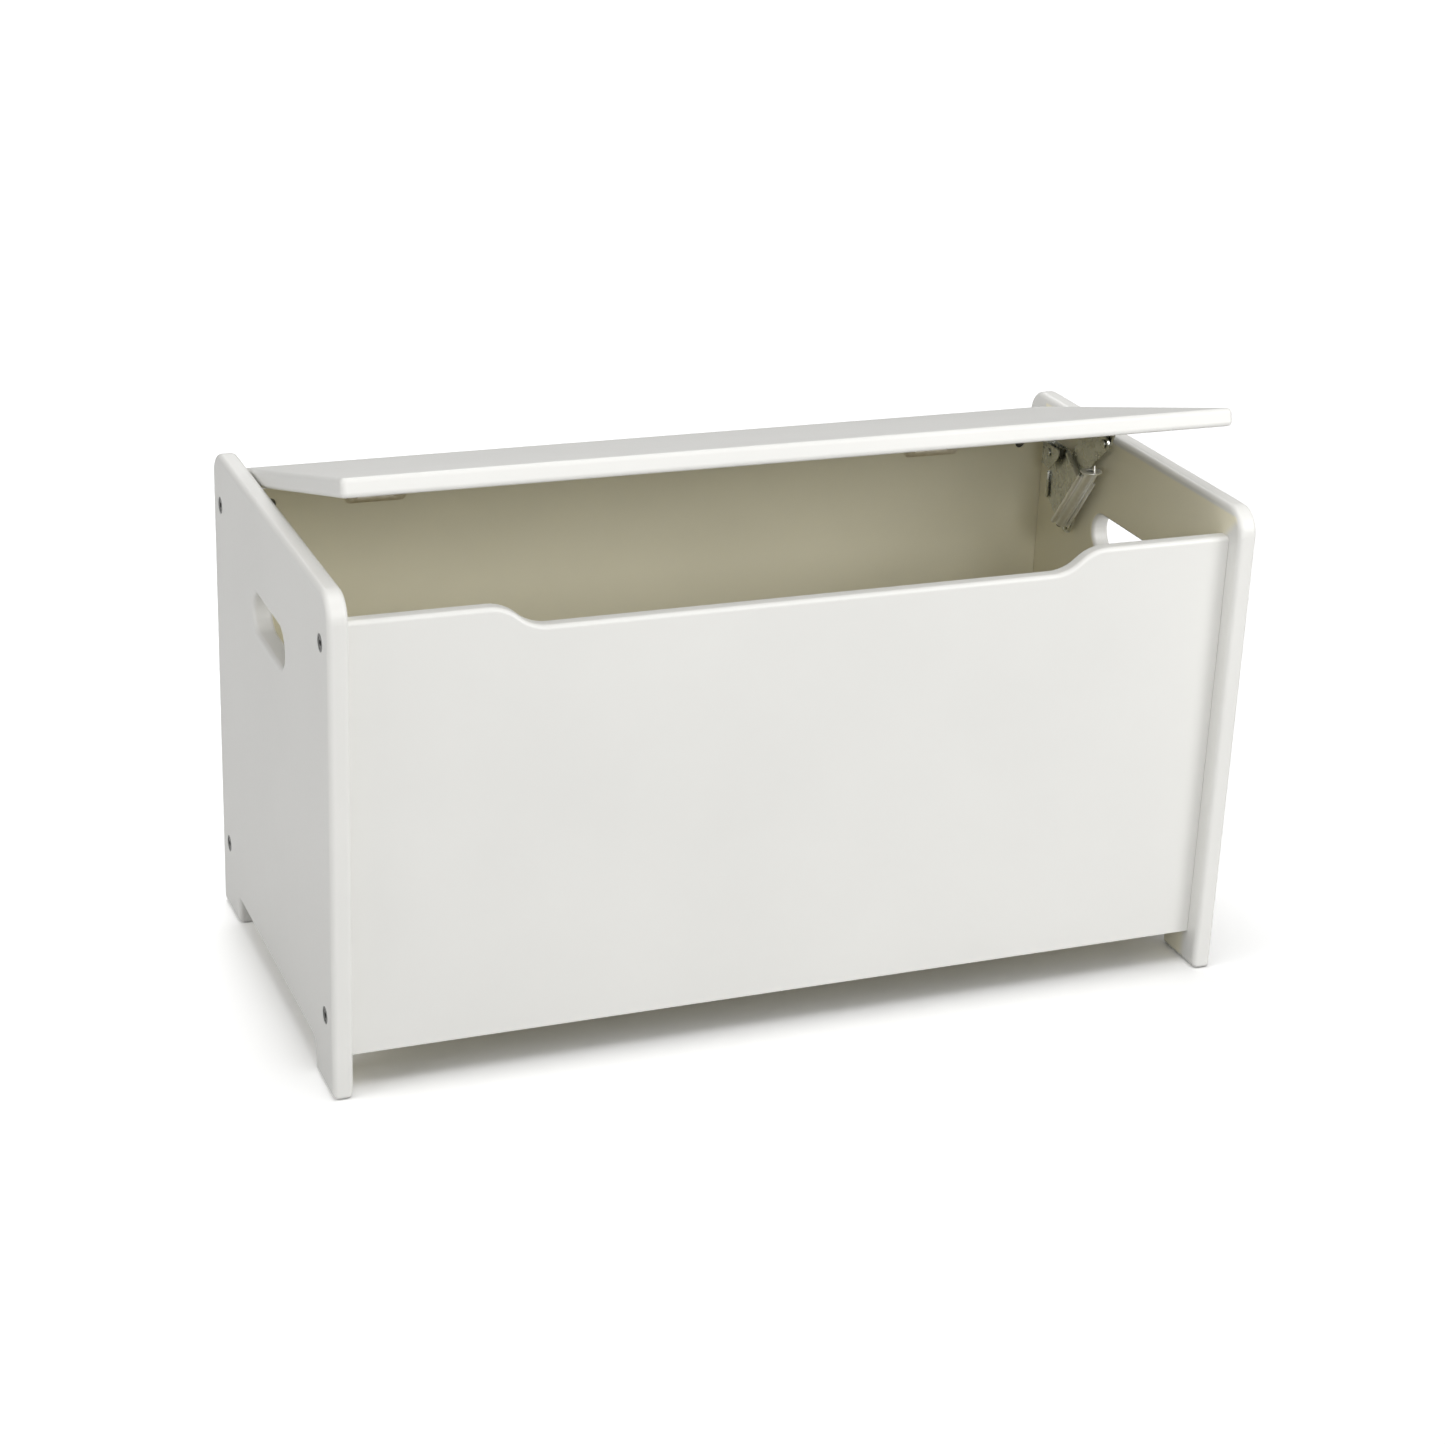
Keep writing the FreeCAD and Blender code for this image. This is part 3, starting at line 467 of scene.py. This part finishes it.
def fit_fixings():
    """Bolts and nuts of the case, and the screws of hinges and brackets."""
    bolt = connector_bolt()
    nut = barrel_nut()
    screw = wood_screw()
    front_y = front_low.y / MM + BOARD / 2
    back_y = (back_low.y + back_high.y) / 2 / MM
    seat = BOARD / 2 - NUT_RECESS
    bolts = []
    nuts = []
    for sign in (-1, 1):
        for z in BOLT_Z:
            for y, way in ((front_y, 1), (back_y, -1)):
                bolts.append(placed(bolt, (sign * case_x, y, z), (sign, 0, 0)))
                nuts.append(placed(nut, (sign * (side_x - NUT_SETBACK), y + way * seat, z), (0, way, 0)))
    done(joined(bolts), "bolt_set", dark_zinc, "dark_zinc", "case", ["connector_bolts"])
    done(joined(nuts), "nut_set", dark_zinc, "dark_zinc", "case", ["barrel_nuts"])

    screw_x = [sign * HINGE_X + step for sign in (-1, 1) for step in (-SCREW_STEP, SCREW_STEP)]
    face = HINGE_DROP - LEAF
    back_places = [(x, hinge_y + face, hinge_z - SCREW_RUN) for x in screw_x]
    lid_places = [(x, hinge_y - SCREW_RUN, hinge_z + face) for x in screw_x]
    wall_places = [(side_x - PLATE, wall_y + y, wall_z + z) for y, z in WALL_SCREWS]
    ear_places = [(BRACKET_X, LID_BRACKET_Y + step, hinge_z + HINGE_DROP - PLATE) for step in EAR_SCREWS]
    on_back = [placed(screw, place, (0, -1, 0)) for place in back_places]
    on_lid = [with_lid(placed(screw, place, (0, 0, -1))) for place in lid_places]
    on_wall = [placed(screw, place, (-1, 0, 0)) for place in wall_places]
    on_ear = [with_lid(placed(screw, place, (0, 0, -1))) for place in ear_places]
    done(joined(on_back), "back_leaf_screws", nickel, "nickel", "case", ["hinge_back_screws"])
    done(joined(on_lid), "lid_leaf_screws", nickel, "nickel", "lid", ["hinge_lid_screws"])
    done(joined(on_wall), "wall_bracket_screws", zinc, "zinc_plate", "case", ["support_wall_screws"])
    done(joined(on_ear), "lid_bracket_screws", zinc, "zinc_plate", "lid", ["support_lid_screws"])
    for pattern in (bolt, nut, screw):
        bpy.data.objects.remove(pattern)


# ---- hinges ---------------------------------------------------------------------------------------
KNUCKLE = 2.6                 # outer radius of a knuckle
KNUCKLE_BORE = 1.32
KNUCKLE_PITCH = 11.2
KNUCKLE_LENGTH = 10.7
LEAF_HALF_LENGTH = 28
LEAF_EDGE = -22               # lower edge of the hanging leaf, from the pin axis


def rolled_knuckle(x0, x1):
    """Sheet that runs up from the leaf and rolls round the pin; drawn about the pin's axis."""
    turns = [math.radians(10 * k) for k in range(26)]
    outer = [(KNUCKLE * math.cos(a), KNUCKLE * math.sin(a)) for a in turns]
    inner = [(KNUCKLE_BORE * math.cos(a), KNUCKLE_BORE * math.sin(a)) for a in turns]
    outside_neck = [(2.95, -4.2), (2.95, -2.2)]
    inside_neck = [(1.65, -2.4), (1.65, -4.2)]
    return sheet(outside_neck + outer + inner[::-1] + inside_neck, x0, x1)


def hinge_leaf(kept):
    """Pressed leaf that hangs from the pin, with every second knuckle and two screw holes."""
    front_y = HINGE_DROP - LEAF
    outline = [(front_y, -3.2), (HINGE_DROP, -3.2), (HINGE_DROP, LEAF_EDGE), (front_y, LEAF_EDGE)]
    leaf = sheet(outline, -LEAF_HALF_LENGTH, LEAF_HALF_LENGTH)
    bend(leaf, 4, lambda a, b: abs(a.y - b.y) > 1.3 * MM and a.z < -20 * MM)
    holes = [rod(SCREW_HOLE, (x, 0, -SCREW_RUN), (x, 5, -SCREW_RUN), 32) for x in (-SCREW_STEP, SCREW_STEP)]
    cut(leaf, *holes)
    starts = [k * KNUCKLE_PITCH - LEAF_HALF_LENGTH + 0.15 for k in range(5) if k % 2 == kept]
    knuckles = [rolled_knuckle(start, start + KNUCKLE_LENGTH) for start in starts]
    return eased(welded(leaf, *knuckles), 0.22)


def fit_hinges():
    """Two leaves on each side; the lid's leaf is the mirror image of the back one, turned up."""
    for side, sign in (("left", -1), ("right", 1)):
        place = Vector((sign * HINGE_X, hinge_y, hinge_z)) * MM
        back = hinge_leaf(0)
        back.location = place
        done(back, side + "_back_leaf", nickel, "nickel", "case", [side + "_hinge_back_leaf"])
        front = hinge_leaf(1)
        front.scale = (1, -1, 1)
        settled(front)
        bpy.ops.object.mode_set(mode="EDIT")
        bpy.ops.mesh.select_all(action="SELECT")
        bpy.ops.mesh.normals_make_consistent(inside=False)
        bpy.ops.object.mode_set(mode="OBJECT")
        front.rotation_euler = (math.radians(-90 - lid_angle), 0, 0)
        front.location = place
        done(front, side + "_lid_leaf", nickel, "nickel", "lid", [side + "_hinge_lid_leaf"])


# ---- lid support ----------------------------------------------------------------------------------
BASE_X = side_x - PLATE       # face of the wall bracket's base
LOWER_X = (BASE_X - 6, BASE_X - 4)
UPPER_X = (BASE_X - 9.5, BASE_X - 7.5)
EAR_X = (BASE_X - 12, BASE_X - 10.5)
TUBE_X = UPPER_X[0] - 7
BRACKET_X = LOWER_X[1] - 14
open_arm = Vector((0, pivot_y - hinge_y, pivot_z - hinge_z))
closed = Matrix.Rotation(math.radians(lid_angle), 4, "X") @ open_arm
LID_BRACKET_Y = hinge_y + closed.y
LID_BRACKET_Z = hinge_z + closed.z


def fold(radius, start, end, wall=0.6):
    """Edge of a plate folded into a round lip: an open roll of sheet between two points of one x."""
    turns = [math.radians(12 * k) for k in range(27)]
    outer = [(radius * math.cos(a), radius * math.sin(a)) for a in turns]
    inner = [((radius - wall) * math.cos(a), (radius - wall) * math.sin(a)) for a in turns]
    rise_y = end[1] - start[1]
    rise_z = end[2] - start[2]
    roll = sheet(outer + inner[::-1], 0, math.hypot(rise_y, rise_z))
    roll.rotation_euler = (0, math.radians(-90), 0)
    settled(roll)
    roll.rotation_euler = (math.atan2(rise_z, rise_y) - math.pi / 2, 0, 0)
    roll.location = Vector(start) * MM
    return eased(settled(roll), 0.15, 2)


def rivet(y, z, x_head, x_tail):
    """Domed rivet along X with its head outside x_head."""
    head = eased(rod(4.5, (x_head - 1.5, y, z), (x_head, y, z), 48), 1.0, 5)
    shank = rod(2.5, (x_head - 0.2, y, z), (x_tail, y, z), 32)
    tail = eased(rod(3.5, (x_tail - 0.1, y, z), (x_tail + 0.7, y, z), 40), 0.35, 3)
    return welded(head, shank, tail)


def drill(plate, radius, y, z, span_x):
    """Round hole through a plate between two x values."""
    return cut(plate, rod(radius, (span_x[0] - 1, y, z), (span_x[1] + 1, y, z)))


def wall_bracket():
    """Folded channel: base on the side panel, web behind the pivot, pointed ear in front of the arm."""
    web_y = wall_y + 11
    back = web_y + PLATE
    top = wall_z + 8
    low = top - 37
    nose = back - 34
    base = sheet([(back, top), (back, low), (nose, low), (nose, top)], BASE_X, side_x)
    bend(base, 8, lambda a, b: abs(a.x - b.x) > 1.4 * MM and a.y < (back - 30) * MM)
    web = block((EAR_X[0], web_y, top - 22), (side_x, back, top))
    tip = back - 33
    ear = sheet([(back, top - 20), (back, top), (tip, top), (tip, top - 7), (back - 15, top - 25)], *EAR_X)
    bend(ear, 3, lambda a, b: abs(a.x - b.x) > 1.4 * MM and a.y < (back - 10) * MM)
    bracket = welded(base, web, ear)
    drill(bracket, RIVET_HOLE, wall_y, wall_z, EAR_X)
    for y, z in WALL_SCREWS:
        drill(bracket, SCREW_HOLE, wall_y + y, wall_z + z, (BASE_X, side_x))
    return eased(bracket, 0.45, 3)


def lower_arm():
    """Broad pressed plate from the wall pivot to the elbow, its rear edge folded into a round lip."""
    outline = [(wall_y + 5, wall_z + 6), (wall_y - 8, wall_z + 7.5), (wall_y - 33, wall_z + 11),
               (wall_y - 61, wall_z - 2), (elbow_y - 8, elbow_z + 2), (elbow_y - 1, elbow_z - 9),
               (elbow_y + 20, elbow_z - 3), (wall_y + 5, wall_z - 48), (wall_y + 8, wall_z - 32),
               (wall_y + 3.5, wall_z - 17)]
    arm = sheet(outline, *LOWER_X, corner=3)
    eye = rod(8, (LOWER_X[0], wall_y, wall_z), (LOWER_X[1], wall_y, wall_z), 48)
    arm = welded(arm, eye)
    for y, z in ((wall_y, wall_z), (elbow_y, elbow_z)):
        drill(arm, RIVET_HOLE, y, z, LOWER_X)
    lip_x = LOWER_X[0] - 1.2
    lip = fold(1.9, (lip_x, wall_y + 5, wall_z - 21), (lip_x, wall_y + 4, wall_z - 47))
    return joined([eased(arm, 0.35, 3), lip])


tube_angle = math.atan2(pivot_z - elbow_z, pivot_y - elbow_y) + math.radians(6.1)
tube_way = Vector((0, math.cos(tube_angle), math.sin(tube_angle)))
tube_side = Vector((0, math.sin(tube_angle), -math.cos(tube_angle)))
tube_low = Vector((TUBE_X, elbow_y, elbow_z)) + tube_way * 7.2
tube_high = tube_low + tube_way * 83


def along_tube(piece):
    """Turn a piece that was drawn up from the origin onto the tube's axis."""
    piece.rotation_euler = (tube_angle - math.pi / 2, 0, 0)
    piece.location = tube_low * MM
    return settled(piece)


def upper_arm():
    """Plate behind the tube that widens above it; its rear edge is rolled forward into a channel."""
    elbow = Vector((0, elbow_y, elbow_z))
    front = elbow - tube_side * 5
    rear = elbow + tube_side * 7.5
    notch = (tube_high.y + 30, tube_high.z - 9)
    heel = (notch[0] + 22, notch[1] + 9)
    outline = [front.yz, rear.yz, (notch[0], notch[1] - 5), heel, (pivot_y + 51, pivot_z - 12),
               (pivot_y + 3, pivot_z + 8), (pivot_y - 8, pivot_z + 2), (pivot_y - 3, pivot_z - 8),
               (pivot_y + 14, pivot_z - 22), (tube_high.y + 15.5, tube_high.z - 2)]
    arm = sheet(outline, *UPPER_X, corner=2)
    for y, z, radius in ((elbow_y, elbow_z, 7), (pivot_y, pivot_z, 8)):
        arm = welded(arm, rod(radius, (UPPER_X[0], y, z), (UPPER_X[1], y, z), 48))
        drill(arm, RIVET_HOLE, y, z, UPPER_X)
    lip_x = UPPER_X[0] - 2.4
    lip = fold(3.2, (lip_x, notch[0] + 1, notch[1] - 6), (lip_x, heel[0] + 3, heel[1] + 2))
    return joined([eased(arm, 0.35, 3), lip])


def rolled_tube():
    """Sheet rolled once round and cut level at the top, with a folded lip along each side."""
    turns = [math.radians(180 + 8 * k) for k in range(48)]
    shrink = [0.8 * k / 45 for k in range(48)]
    outer = [((7 - s) * math.cos(a), (7 - s) * math.sin(a)) for a, s in zip(turns, shrink)]
    inner = [((6.4 - s) * math.cos(a), (6.4 - s) * math.sin(a)) for a, s in zip(turns, shrink)]
    tube = sheet([(y, z) for y, z in outer + inner[::-1]], 0, 97)
    tube.rotation_euler = (0, math.radians(-90), 0)
    settled(tube)
    along_tube(tube)
    reach = Vector((30, 30, 0))
    above = block(tube_high - reach, tube_high + reach + Vector((0, 0, 40)))
    shells = [eased(cut(tube, above), 0.15, 2)]
    for radius, across, out, length in ((2.5, 1.0, 8.3, 76.5), (1.5, -7.3, -4.2, 72.5)):
        start = tube_low + tube_side * across + Vector((-out, 0, 0)) + tube_way * 1.5
        end = start + tube_way * length
        shells.append(fold(radius, start, end))
    return joined(shells)


def collar():
    """Flat ring round the tube's mouth with a pointed lug bent up in front."""
    x, y, z = tube_high
    ring = rod(10.5, (x, y, z), (x, y, z + 1.6), 64)
    ring = eased(cut(ring, rod(4.5, (x, y, z - 1), (x, y, z + 3), 48)), 0.6, 3)
    lug_y = y - 9
    lug = sheet([(lug_y, z), (lug_y + 5, z), (lug_y + 2.4, z + 9)], x - 1, x + 1)
    return welded(ring, eased(lug, 0.5, 3))


def lid_bracket():
    """Angle under the lid whose ear hangs down to the lid pivot."""
    y, z = LID_BRACKET_Y, LID_BRACKET_Z
    under = hinge_z + HINGE_DROP
    base = block((BRACKET_X - 7, y - 19, under - PLATE), (LOWER_X[1], y + 19, under))
    bend(base, 4, lambda a, b: abs(a.z - b.z) > 1.4 * MM and a.x < BRACKET_X * MM)
    skirt = under - 6
    outline = [(y - 19, under), (y + 19, under), (y + 19, skirt), (y + 6.5, z), (y - 6.5, z), (y - 19, skirt)]
    ear = sheet(outline, *LOWER_X)
    eye = rod(6.5, (LOWER_X[0], y, z), (LOWER_X[1], y, z), 48)
    bracket = welded(base, ear, eye)
    drill(bracket, RIVET_HOLE, y, z, LOWER_X)
    for step in EAR_SCREWS:
        cut(bracket, rod(SCREW_HOLE, (BRACKET_X, y + step, under - 5), (BRACKET_X, y + step, under + 5)))
    return with_lid(eased(bracket, 0.4, 3))


def fit_support():
    """The lid support's brackets, arms, rivets and spring tube."""
    steel = (zinc, "zinc_plate")
    done(wall_bracket(), "wall_bracket", *steel, "case", ["support_wall_bracket"])
    wall = rivet(wall_y, wall_z, EAR_X[0], LOWER_X[1] + 0.3)
    shoulder = rod(4, (EAR_X[1], wall_y, wall_z), (LOWER_X[0] - 0.3, wall_y, wall_z), 40)
    done(welded(wall, shoulder), "wall_rivet", *steel, "case", ["support_wall_rivet"])
    done(lower_arm(), "lower_arm", *steel, "support_lower_arm", ["support_lower_arm"])
    done(upper_arm(), "upper_arm", *steel, "support_upper_arm", ["support_upper_arm"])
    elbow = rivet(elbow_y, elbow_z, UPPER_X[0], UPPER_X[1])
    done(elbow, "elbow_rivet", *steel, "support_upper_arm", ["support_elbow_rivet"])
    # painted highlight: the spring tube and collar take the lighter copy of the zinc plate
    bright = (painted_highlight_zinc, "zinc_plate")
    done(rolled_tube(), "spring_tube", *bright, "support_upper_arm", ["support_spring_tube"])
    done(collar(), "spring_collar", *bright, "support_upper_arm", ["support_spring_collar"])
    done(lid_bracket(), "lid_bracket", *steel, "lid", ["support_lid_bracket"])
    lid_rivet = rivet(pivot_y, pivot_z, UPPER_X[0] - 0.3, LOWER_X[1])
    done(lid_rivet, "lid_rivet", *steel, "lid", ["support_lid_rivet"])


fit_fixings()
fit_hinges()
fit_support()


# ---- floor, light and camera --------------------------------------------------------------------
FLOOR_SEEN = 1.7              # how bright the floor looks near the box


def studio_floor():
    """Pale floor that runs past the view on every side and looks brighter than the light it throws."""
    bpy.ops.mesh.primitive_plane_add(size=60, location=(0, 0, -0.0005))
    floor = bpy.context.object
    floor.name = "studio_floor"
    material, tree, shader = new_material("studio_floor")
    tone = noise(tree, place_on_object(tree), 3.0, 2.0)
    thrown = ramp(tree, tone, [(0.3, (0.88, 0.88, 0.88)), (0.7, (0.90, 0.90, 0.90))])
    seen = tree.nodes.new("ShaderNodeMix")
    seen.data_type = "RGBA"
    path = tree.nodes.new("ShaderNodeLightPath")
    tree.links.new(path.outputs["Is Camera Ray"], seen.inputs["Factor"])
    tree.links.new(thrown, seen.inputs["A"])
    distance = tree.nodes.new("ShaderNodeVectorMath")
    distance.operation = "LENGTH"
    tree.links.new(place_on_object(tree), distance.inputs[0])
    far = rise(tree, distance.outputs["Value"], 1.0, 9.0)
    near_and_far = [(0.0, [FLOOR_SEEN] * 3), (1.0, [4.5 * FLOOR_SEEN] * 3)]
    tree.links.new(ramp(tree, far, near_and_far), seen.inputs["B"])
    tree.links.new(seen.outputs["Result"], shader.inputs["Base Color"])
    shader.inputs["Roughness"].default_value = 0.85
    shader.inputs["Specular IOR Level"].default_value = 0.1
    give(floor, material)
    return floor


def softbox(name, place, target, size, power, spared=None):
    """Square area light that points at a target and may leave one collection unlit."""
    data = bpy.data.lights.new(name, "AREA")
    data.shape = "SQUARE"
    data.size = size
    data.energy = power
    lamp = bpy.data.objects.new(name, data)
    bpy.context.scene.collection.objects.link(lamp)
    lamp.location = place
    lamp.rotation_euler = (Vector(target) - Vector(place)).to_track_quat("-Z", "Y").to_euler()
    lamp.light_linking.receiver_collection = spared


def studio_light(floor):
    """White surround and seven softboxes; the front ones are flagged off the floor."""
    world = bpy.data.worlds.new("studio")
    bpy.context.scene.world = world
    world.use_nodes = True
    tree = world.node_tree
    path = tree.nodes.new("ShaderNodeLightPath")
    strength = tree.nodes.new("ShaderNodeMapRange")
    strength.inputs["To Min"].default_value = 0.24
    strength.inputs["To Max"].default_value = 1.0
    tree.links.new(path.outputs["Is Camera Ray"], strength.inputs["Value"])
    background = tree.nodes["Background"]
    background.inputs["Color"].default_value = (1, 1, 1, 1)
    tree.links.new(strength.outputs["Result"], background.inputs["Strength"])
    flagged = bpy.data.collections.new("flagged_floor")
    flagged.objects.link(floor)
    flagged.collection_objects[0].light_linking.link_state = "EXCLUDE"
    middle = (0, 0, 0.25)
    softbox("key_softbox", (1.9, -2.6, 2.2), middle, 1.8, 31, flagged)
    softbox("right_softbox", (1.7, -1.7, 1.2), middle, 1.0, 15, flagged)
    softbox("low_softbox", (-0.1, -2.8, 1.6), (0.1, 0.1, 0.38), 1.0, 21, flagged)
    softbox("left_softbox", (-2.0, -2.6, 1.6), middle, 1.8, 10, flagged)
    softbox("side_softbox", (-3.0, -0.6, 1.3), middle, 1.8, 22)
    softbox("rear_softbox", (0.3, 2.6, 2.6), middle, 1.8, 30)
    softbox("top_softbox", (0.0, -0.3, 3.2), middle, 2.2, 31)


def studio_camera():
    """Long-lens camera above the box and to its left, rolled a little."""
    sensor = 36.0
    data = bpy.data.cameras.new("studio_camera")
    data.sensor_width = sensor
    data.sensor_fit = "HORIZONTAL"
    data.lens = 2.0696 * sensor
    data.clip_start = 0.05
    data.clip_end = 100
    camera = bpy.data.objects.new("studio_camera", data)
    bpy.context.scene.collection.objects.link(camera)
    heading = Matrix.Rotation(math.radians(-22.246), 4, "Z")
    tilt = Matrix.Rotation(math.radians(90 - 22.333), 4, "X")
    roll = Matrix.Rotation(math.radians(2.331), 4, "Z")
    place = Matrix.Translation((-0.960, -2.351, 1.257))
    camera.matrix_world = place @ heading @ tilt @ roll
    bpy.context.scene.camera = camera


studio_light(studio_floor())
studio_camera()
bpy.context.scene.view_settings.view_transform = "Standard"
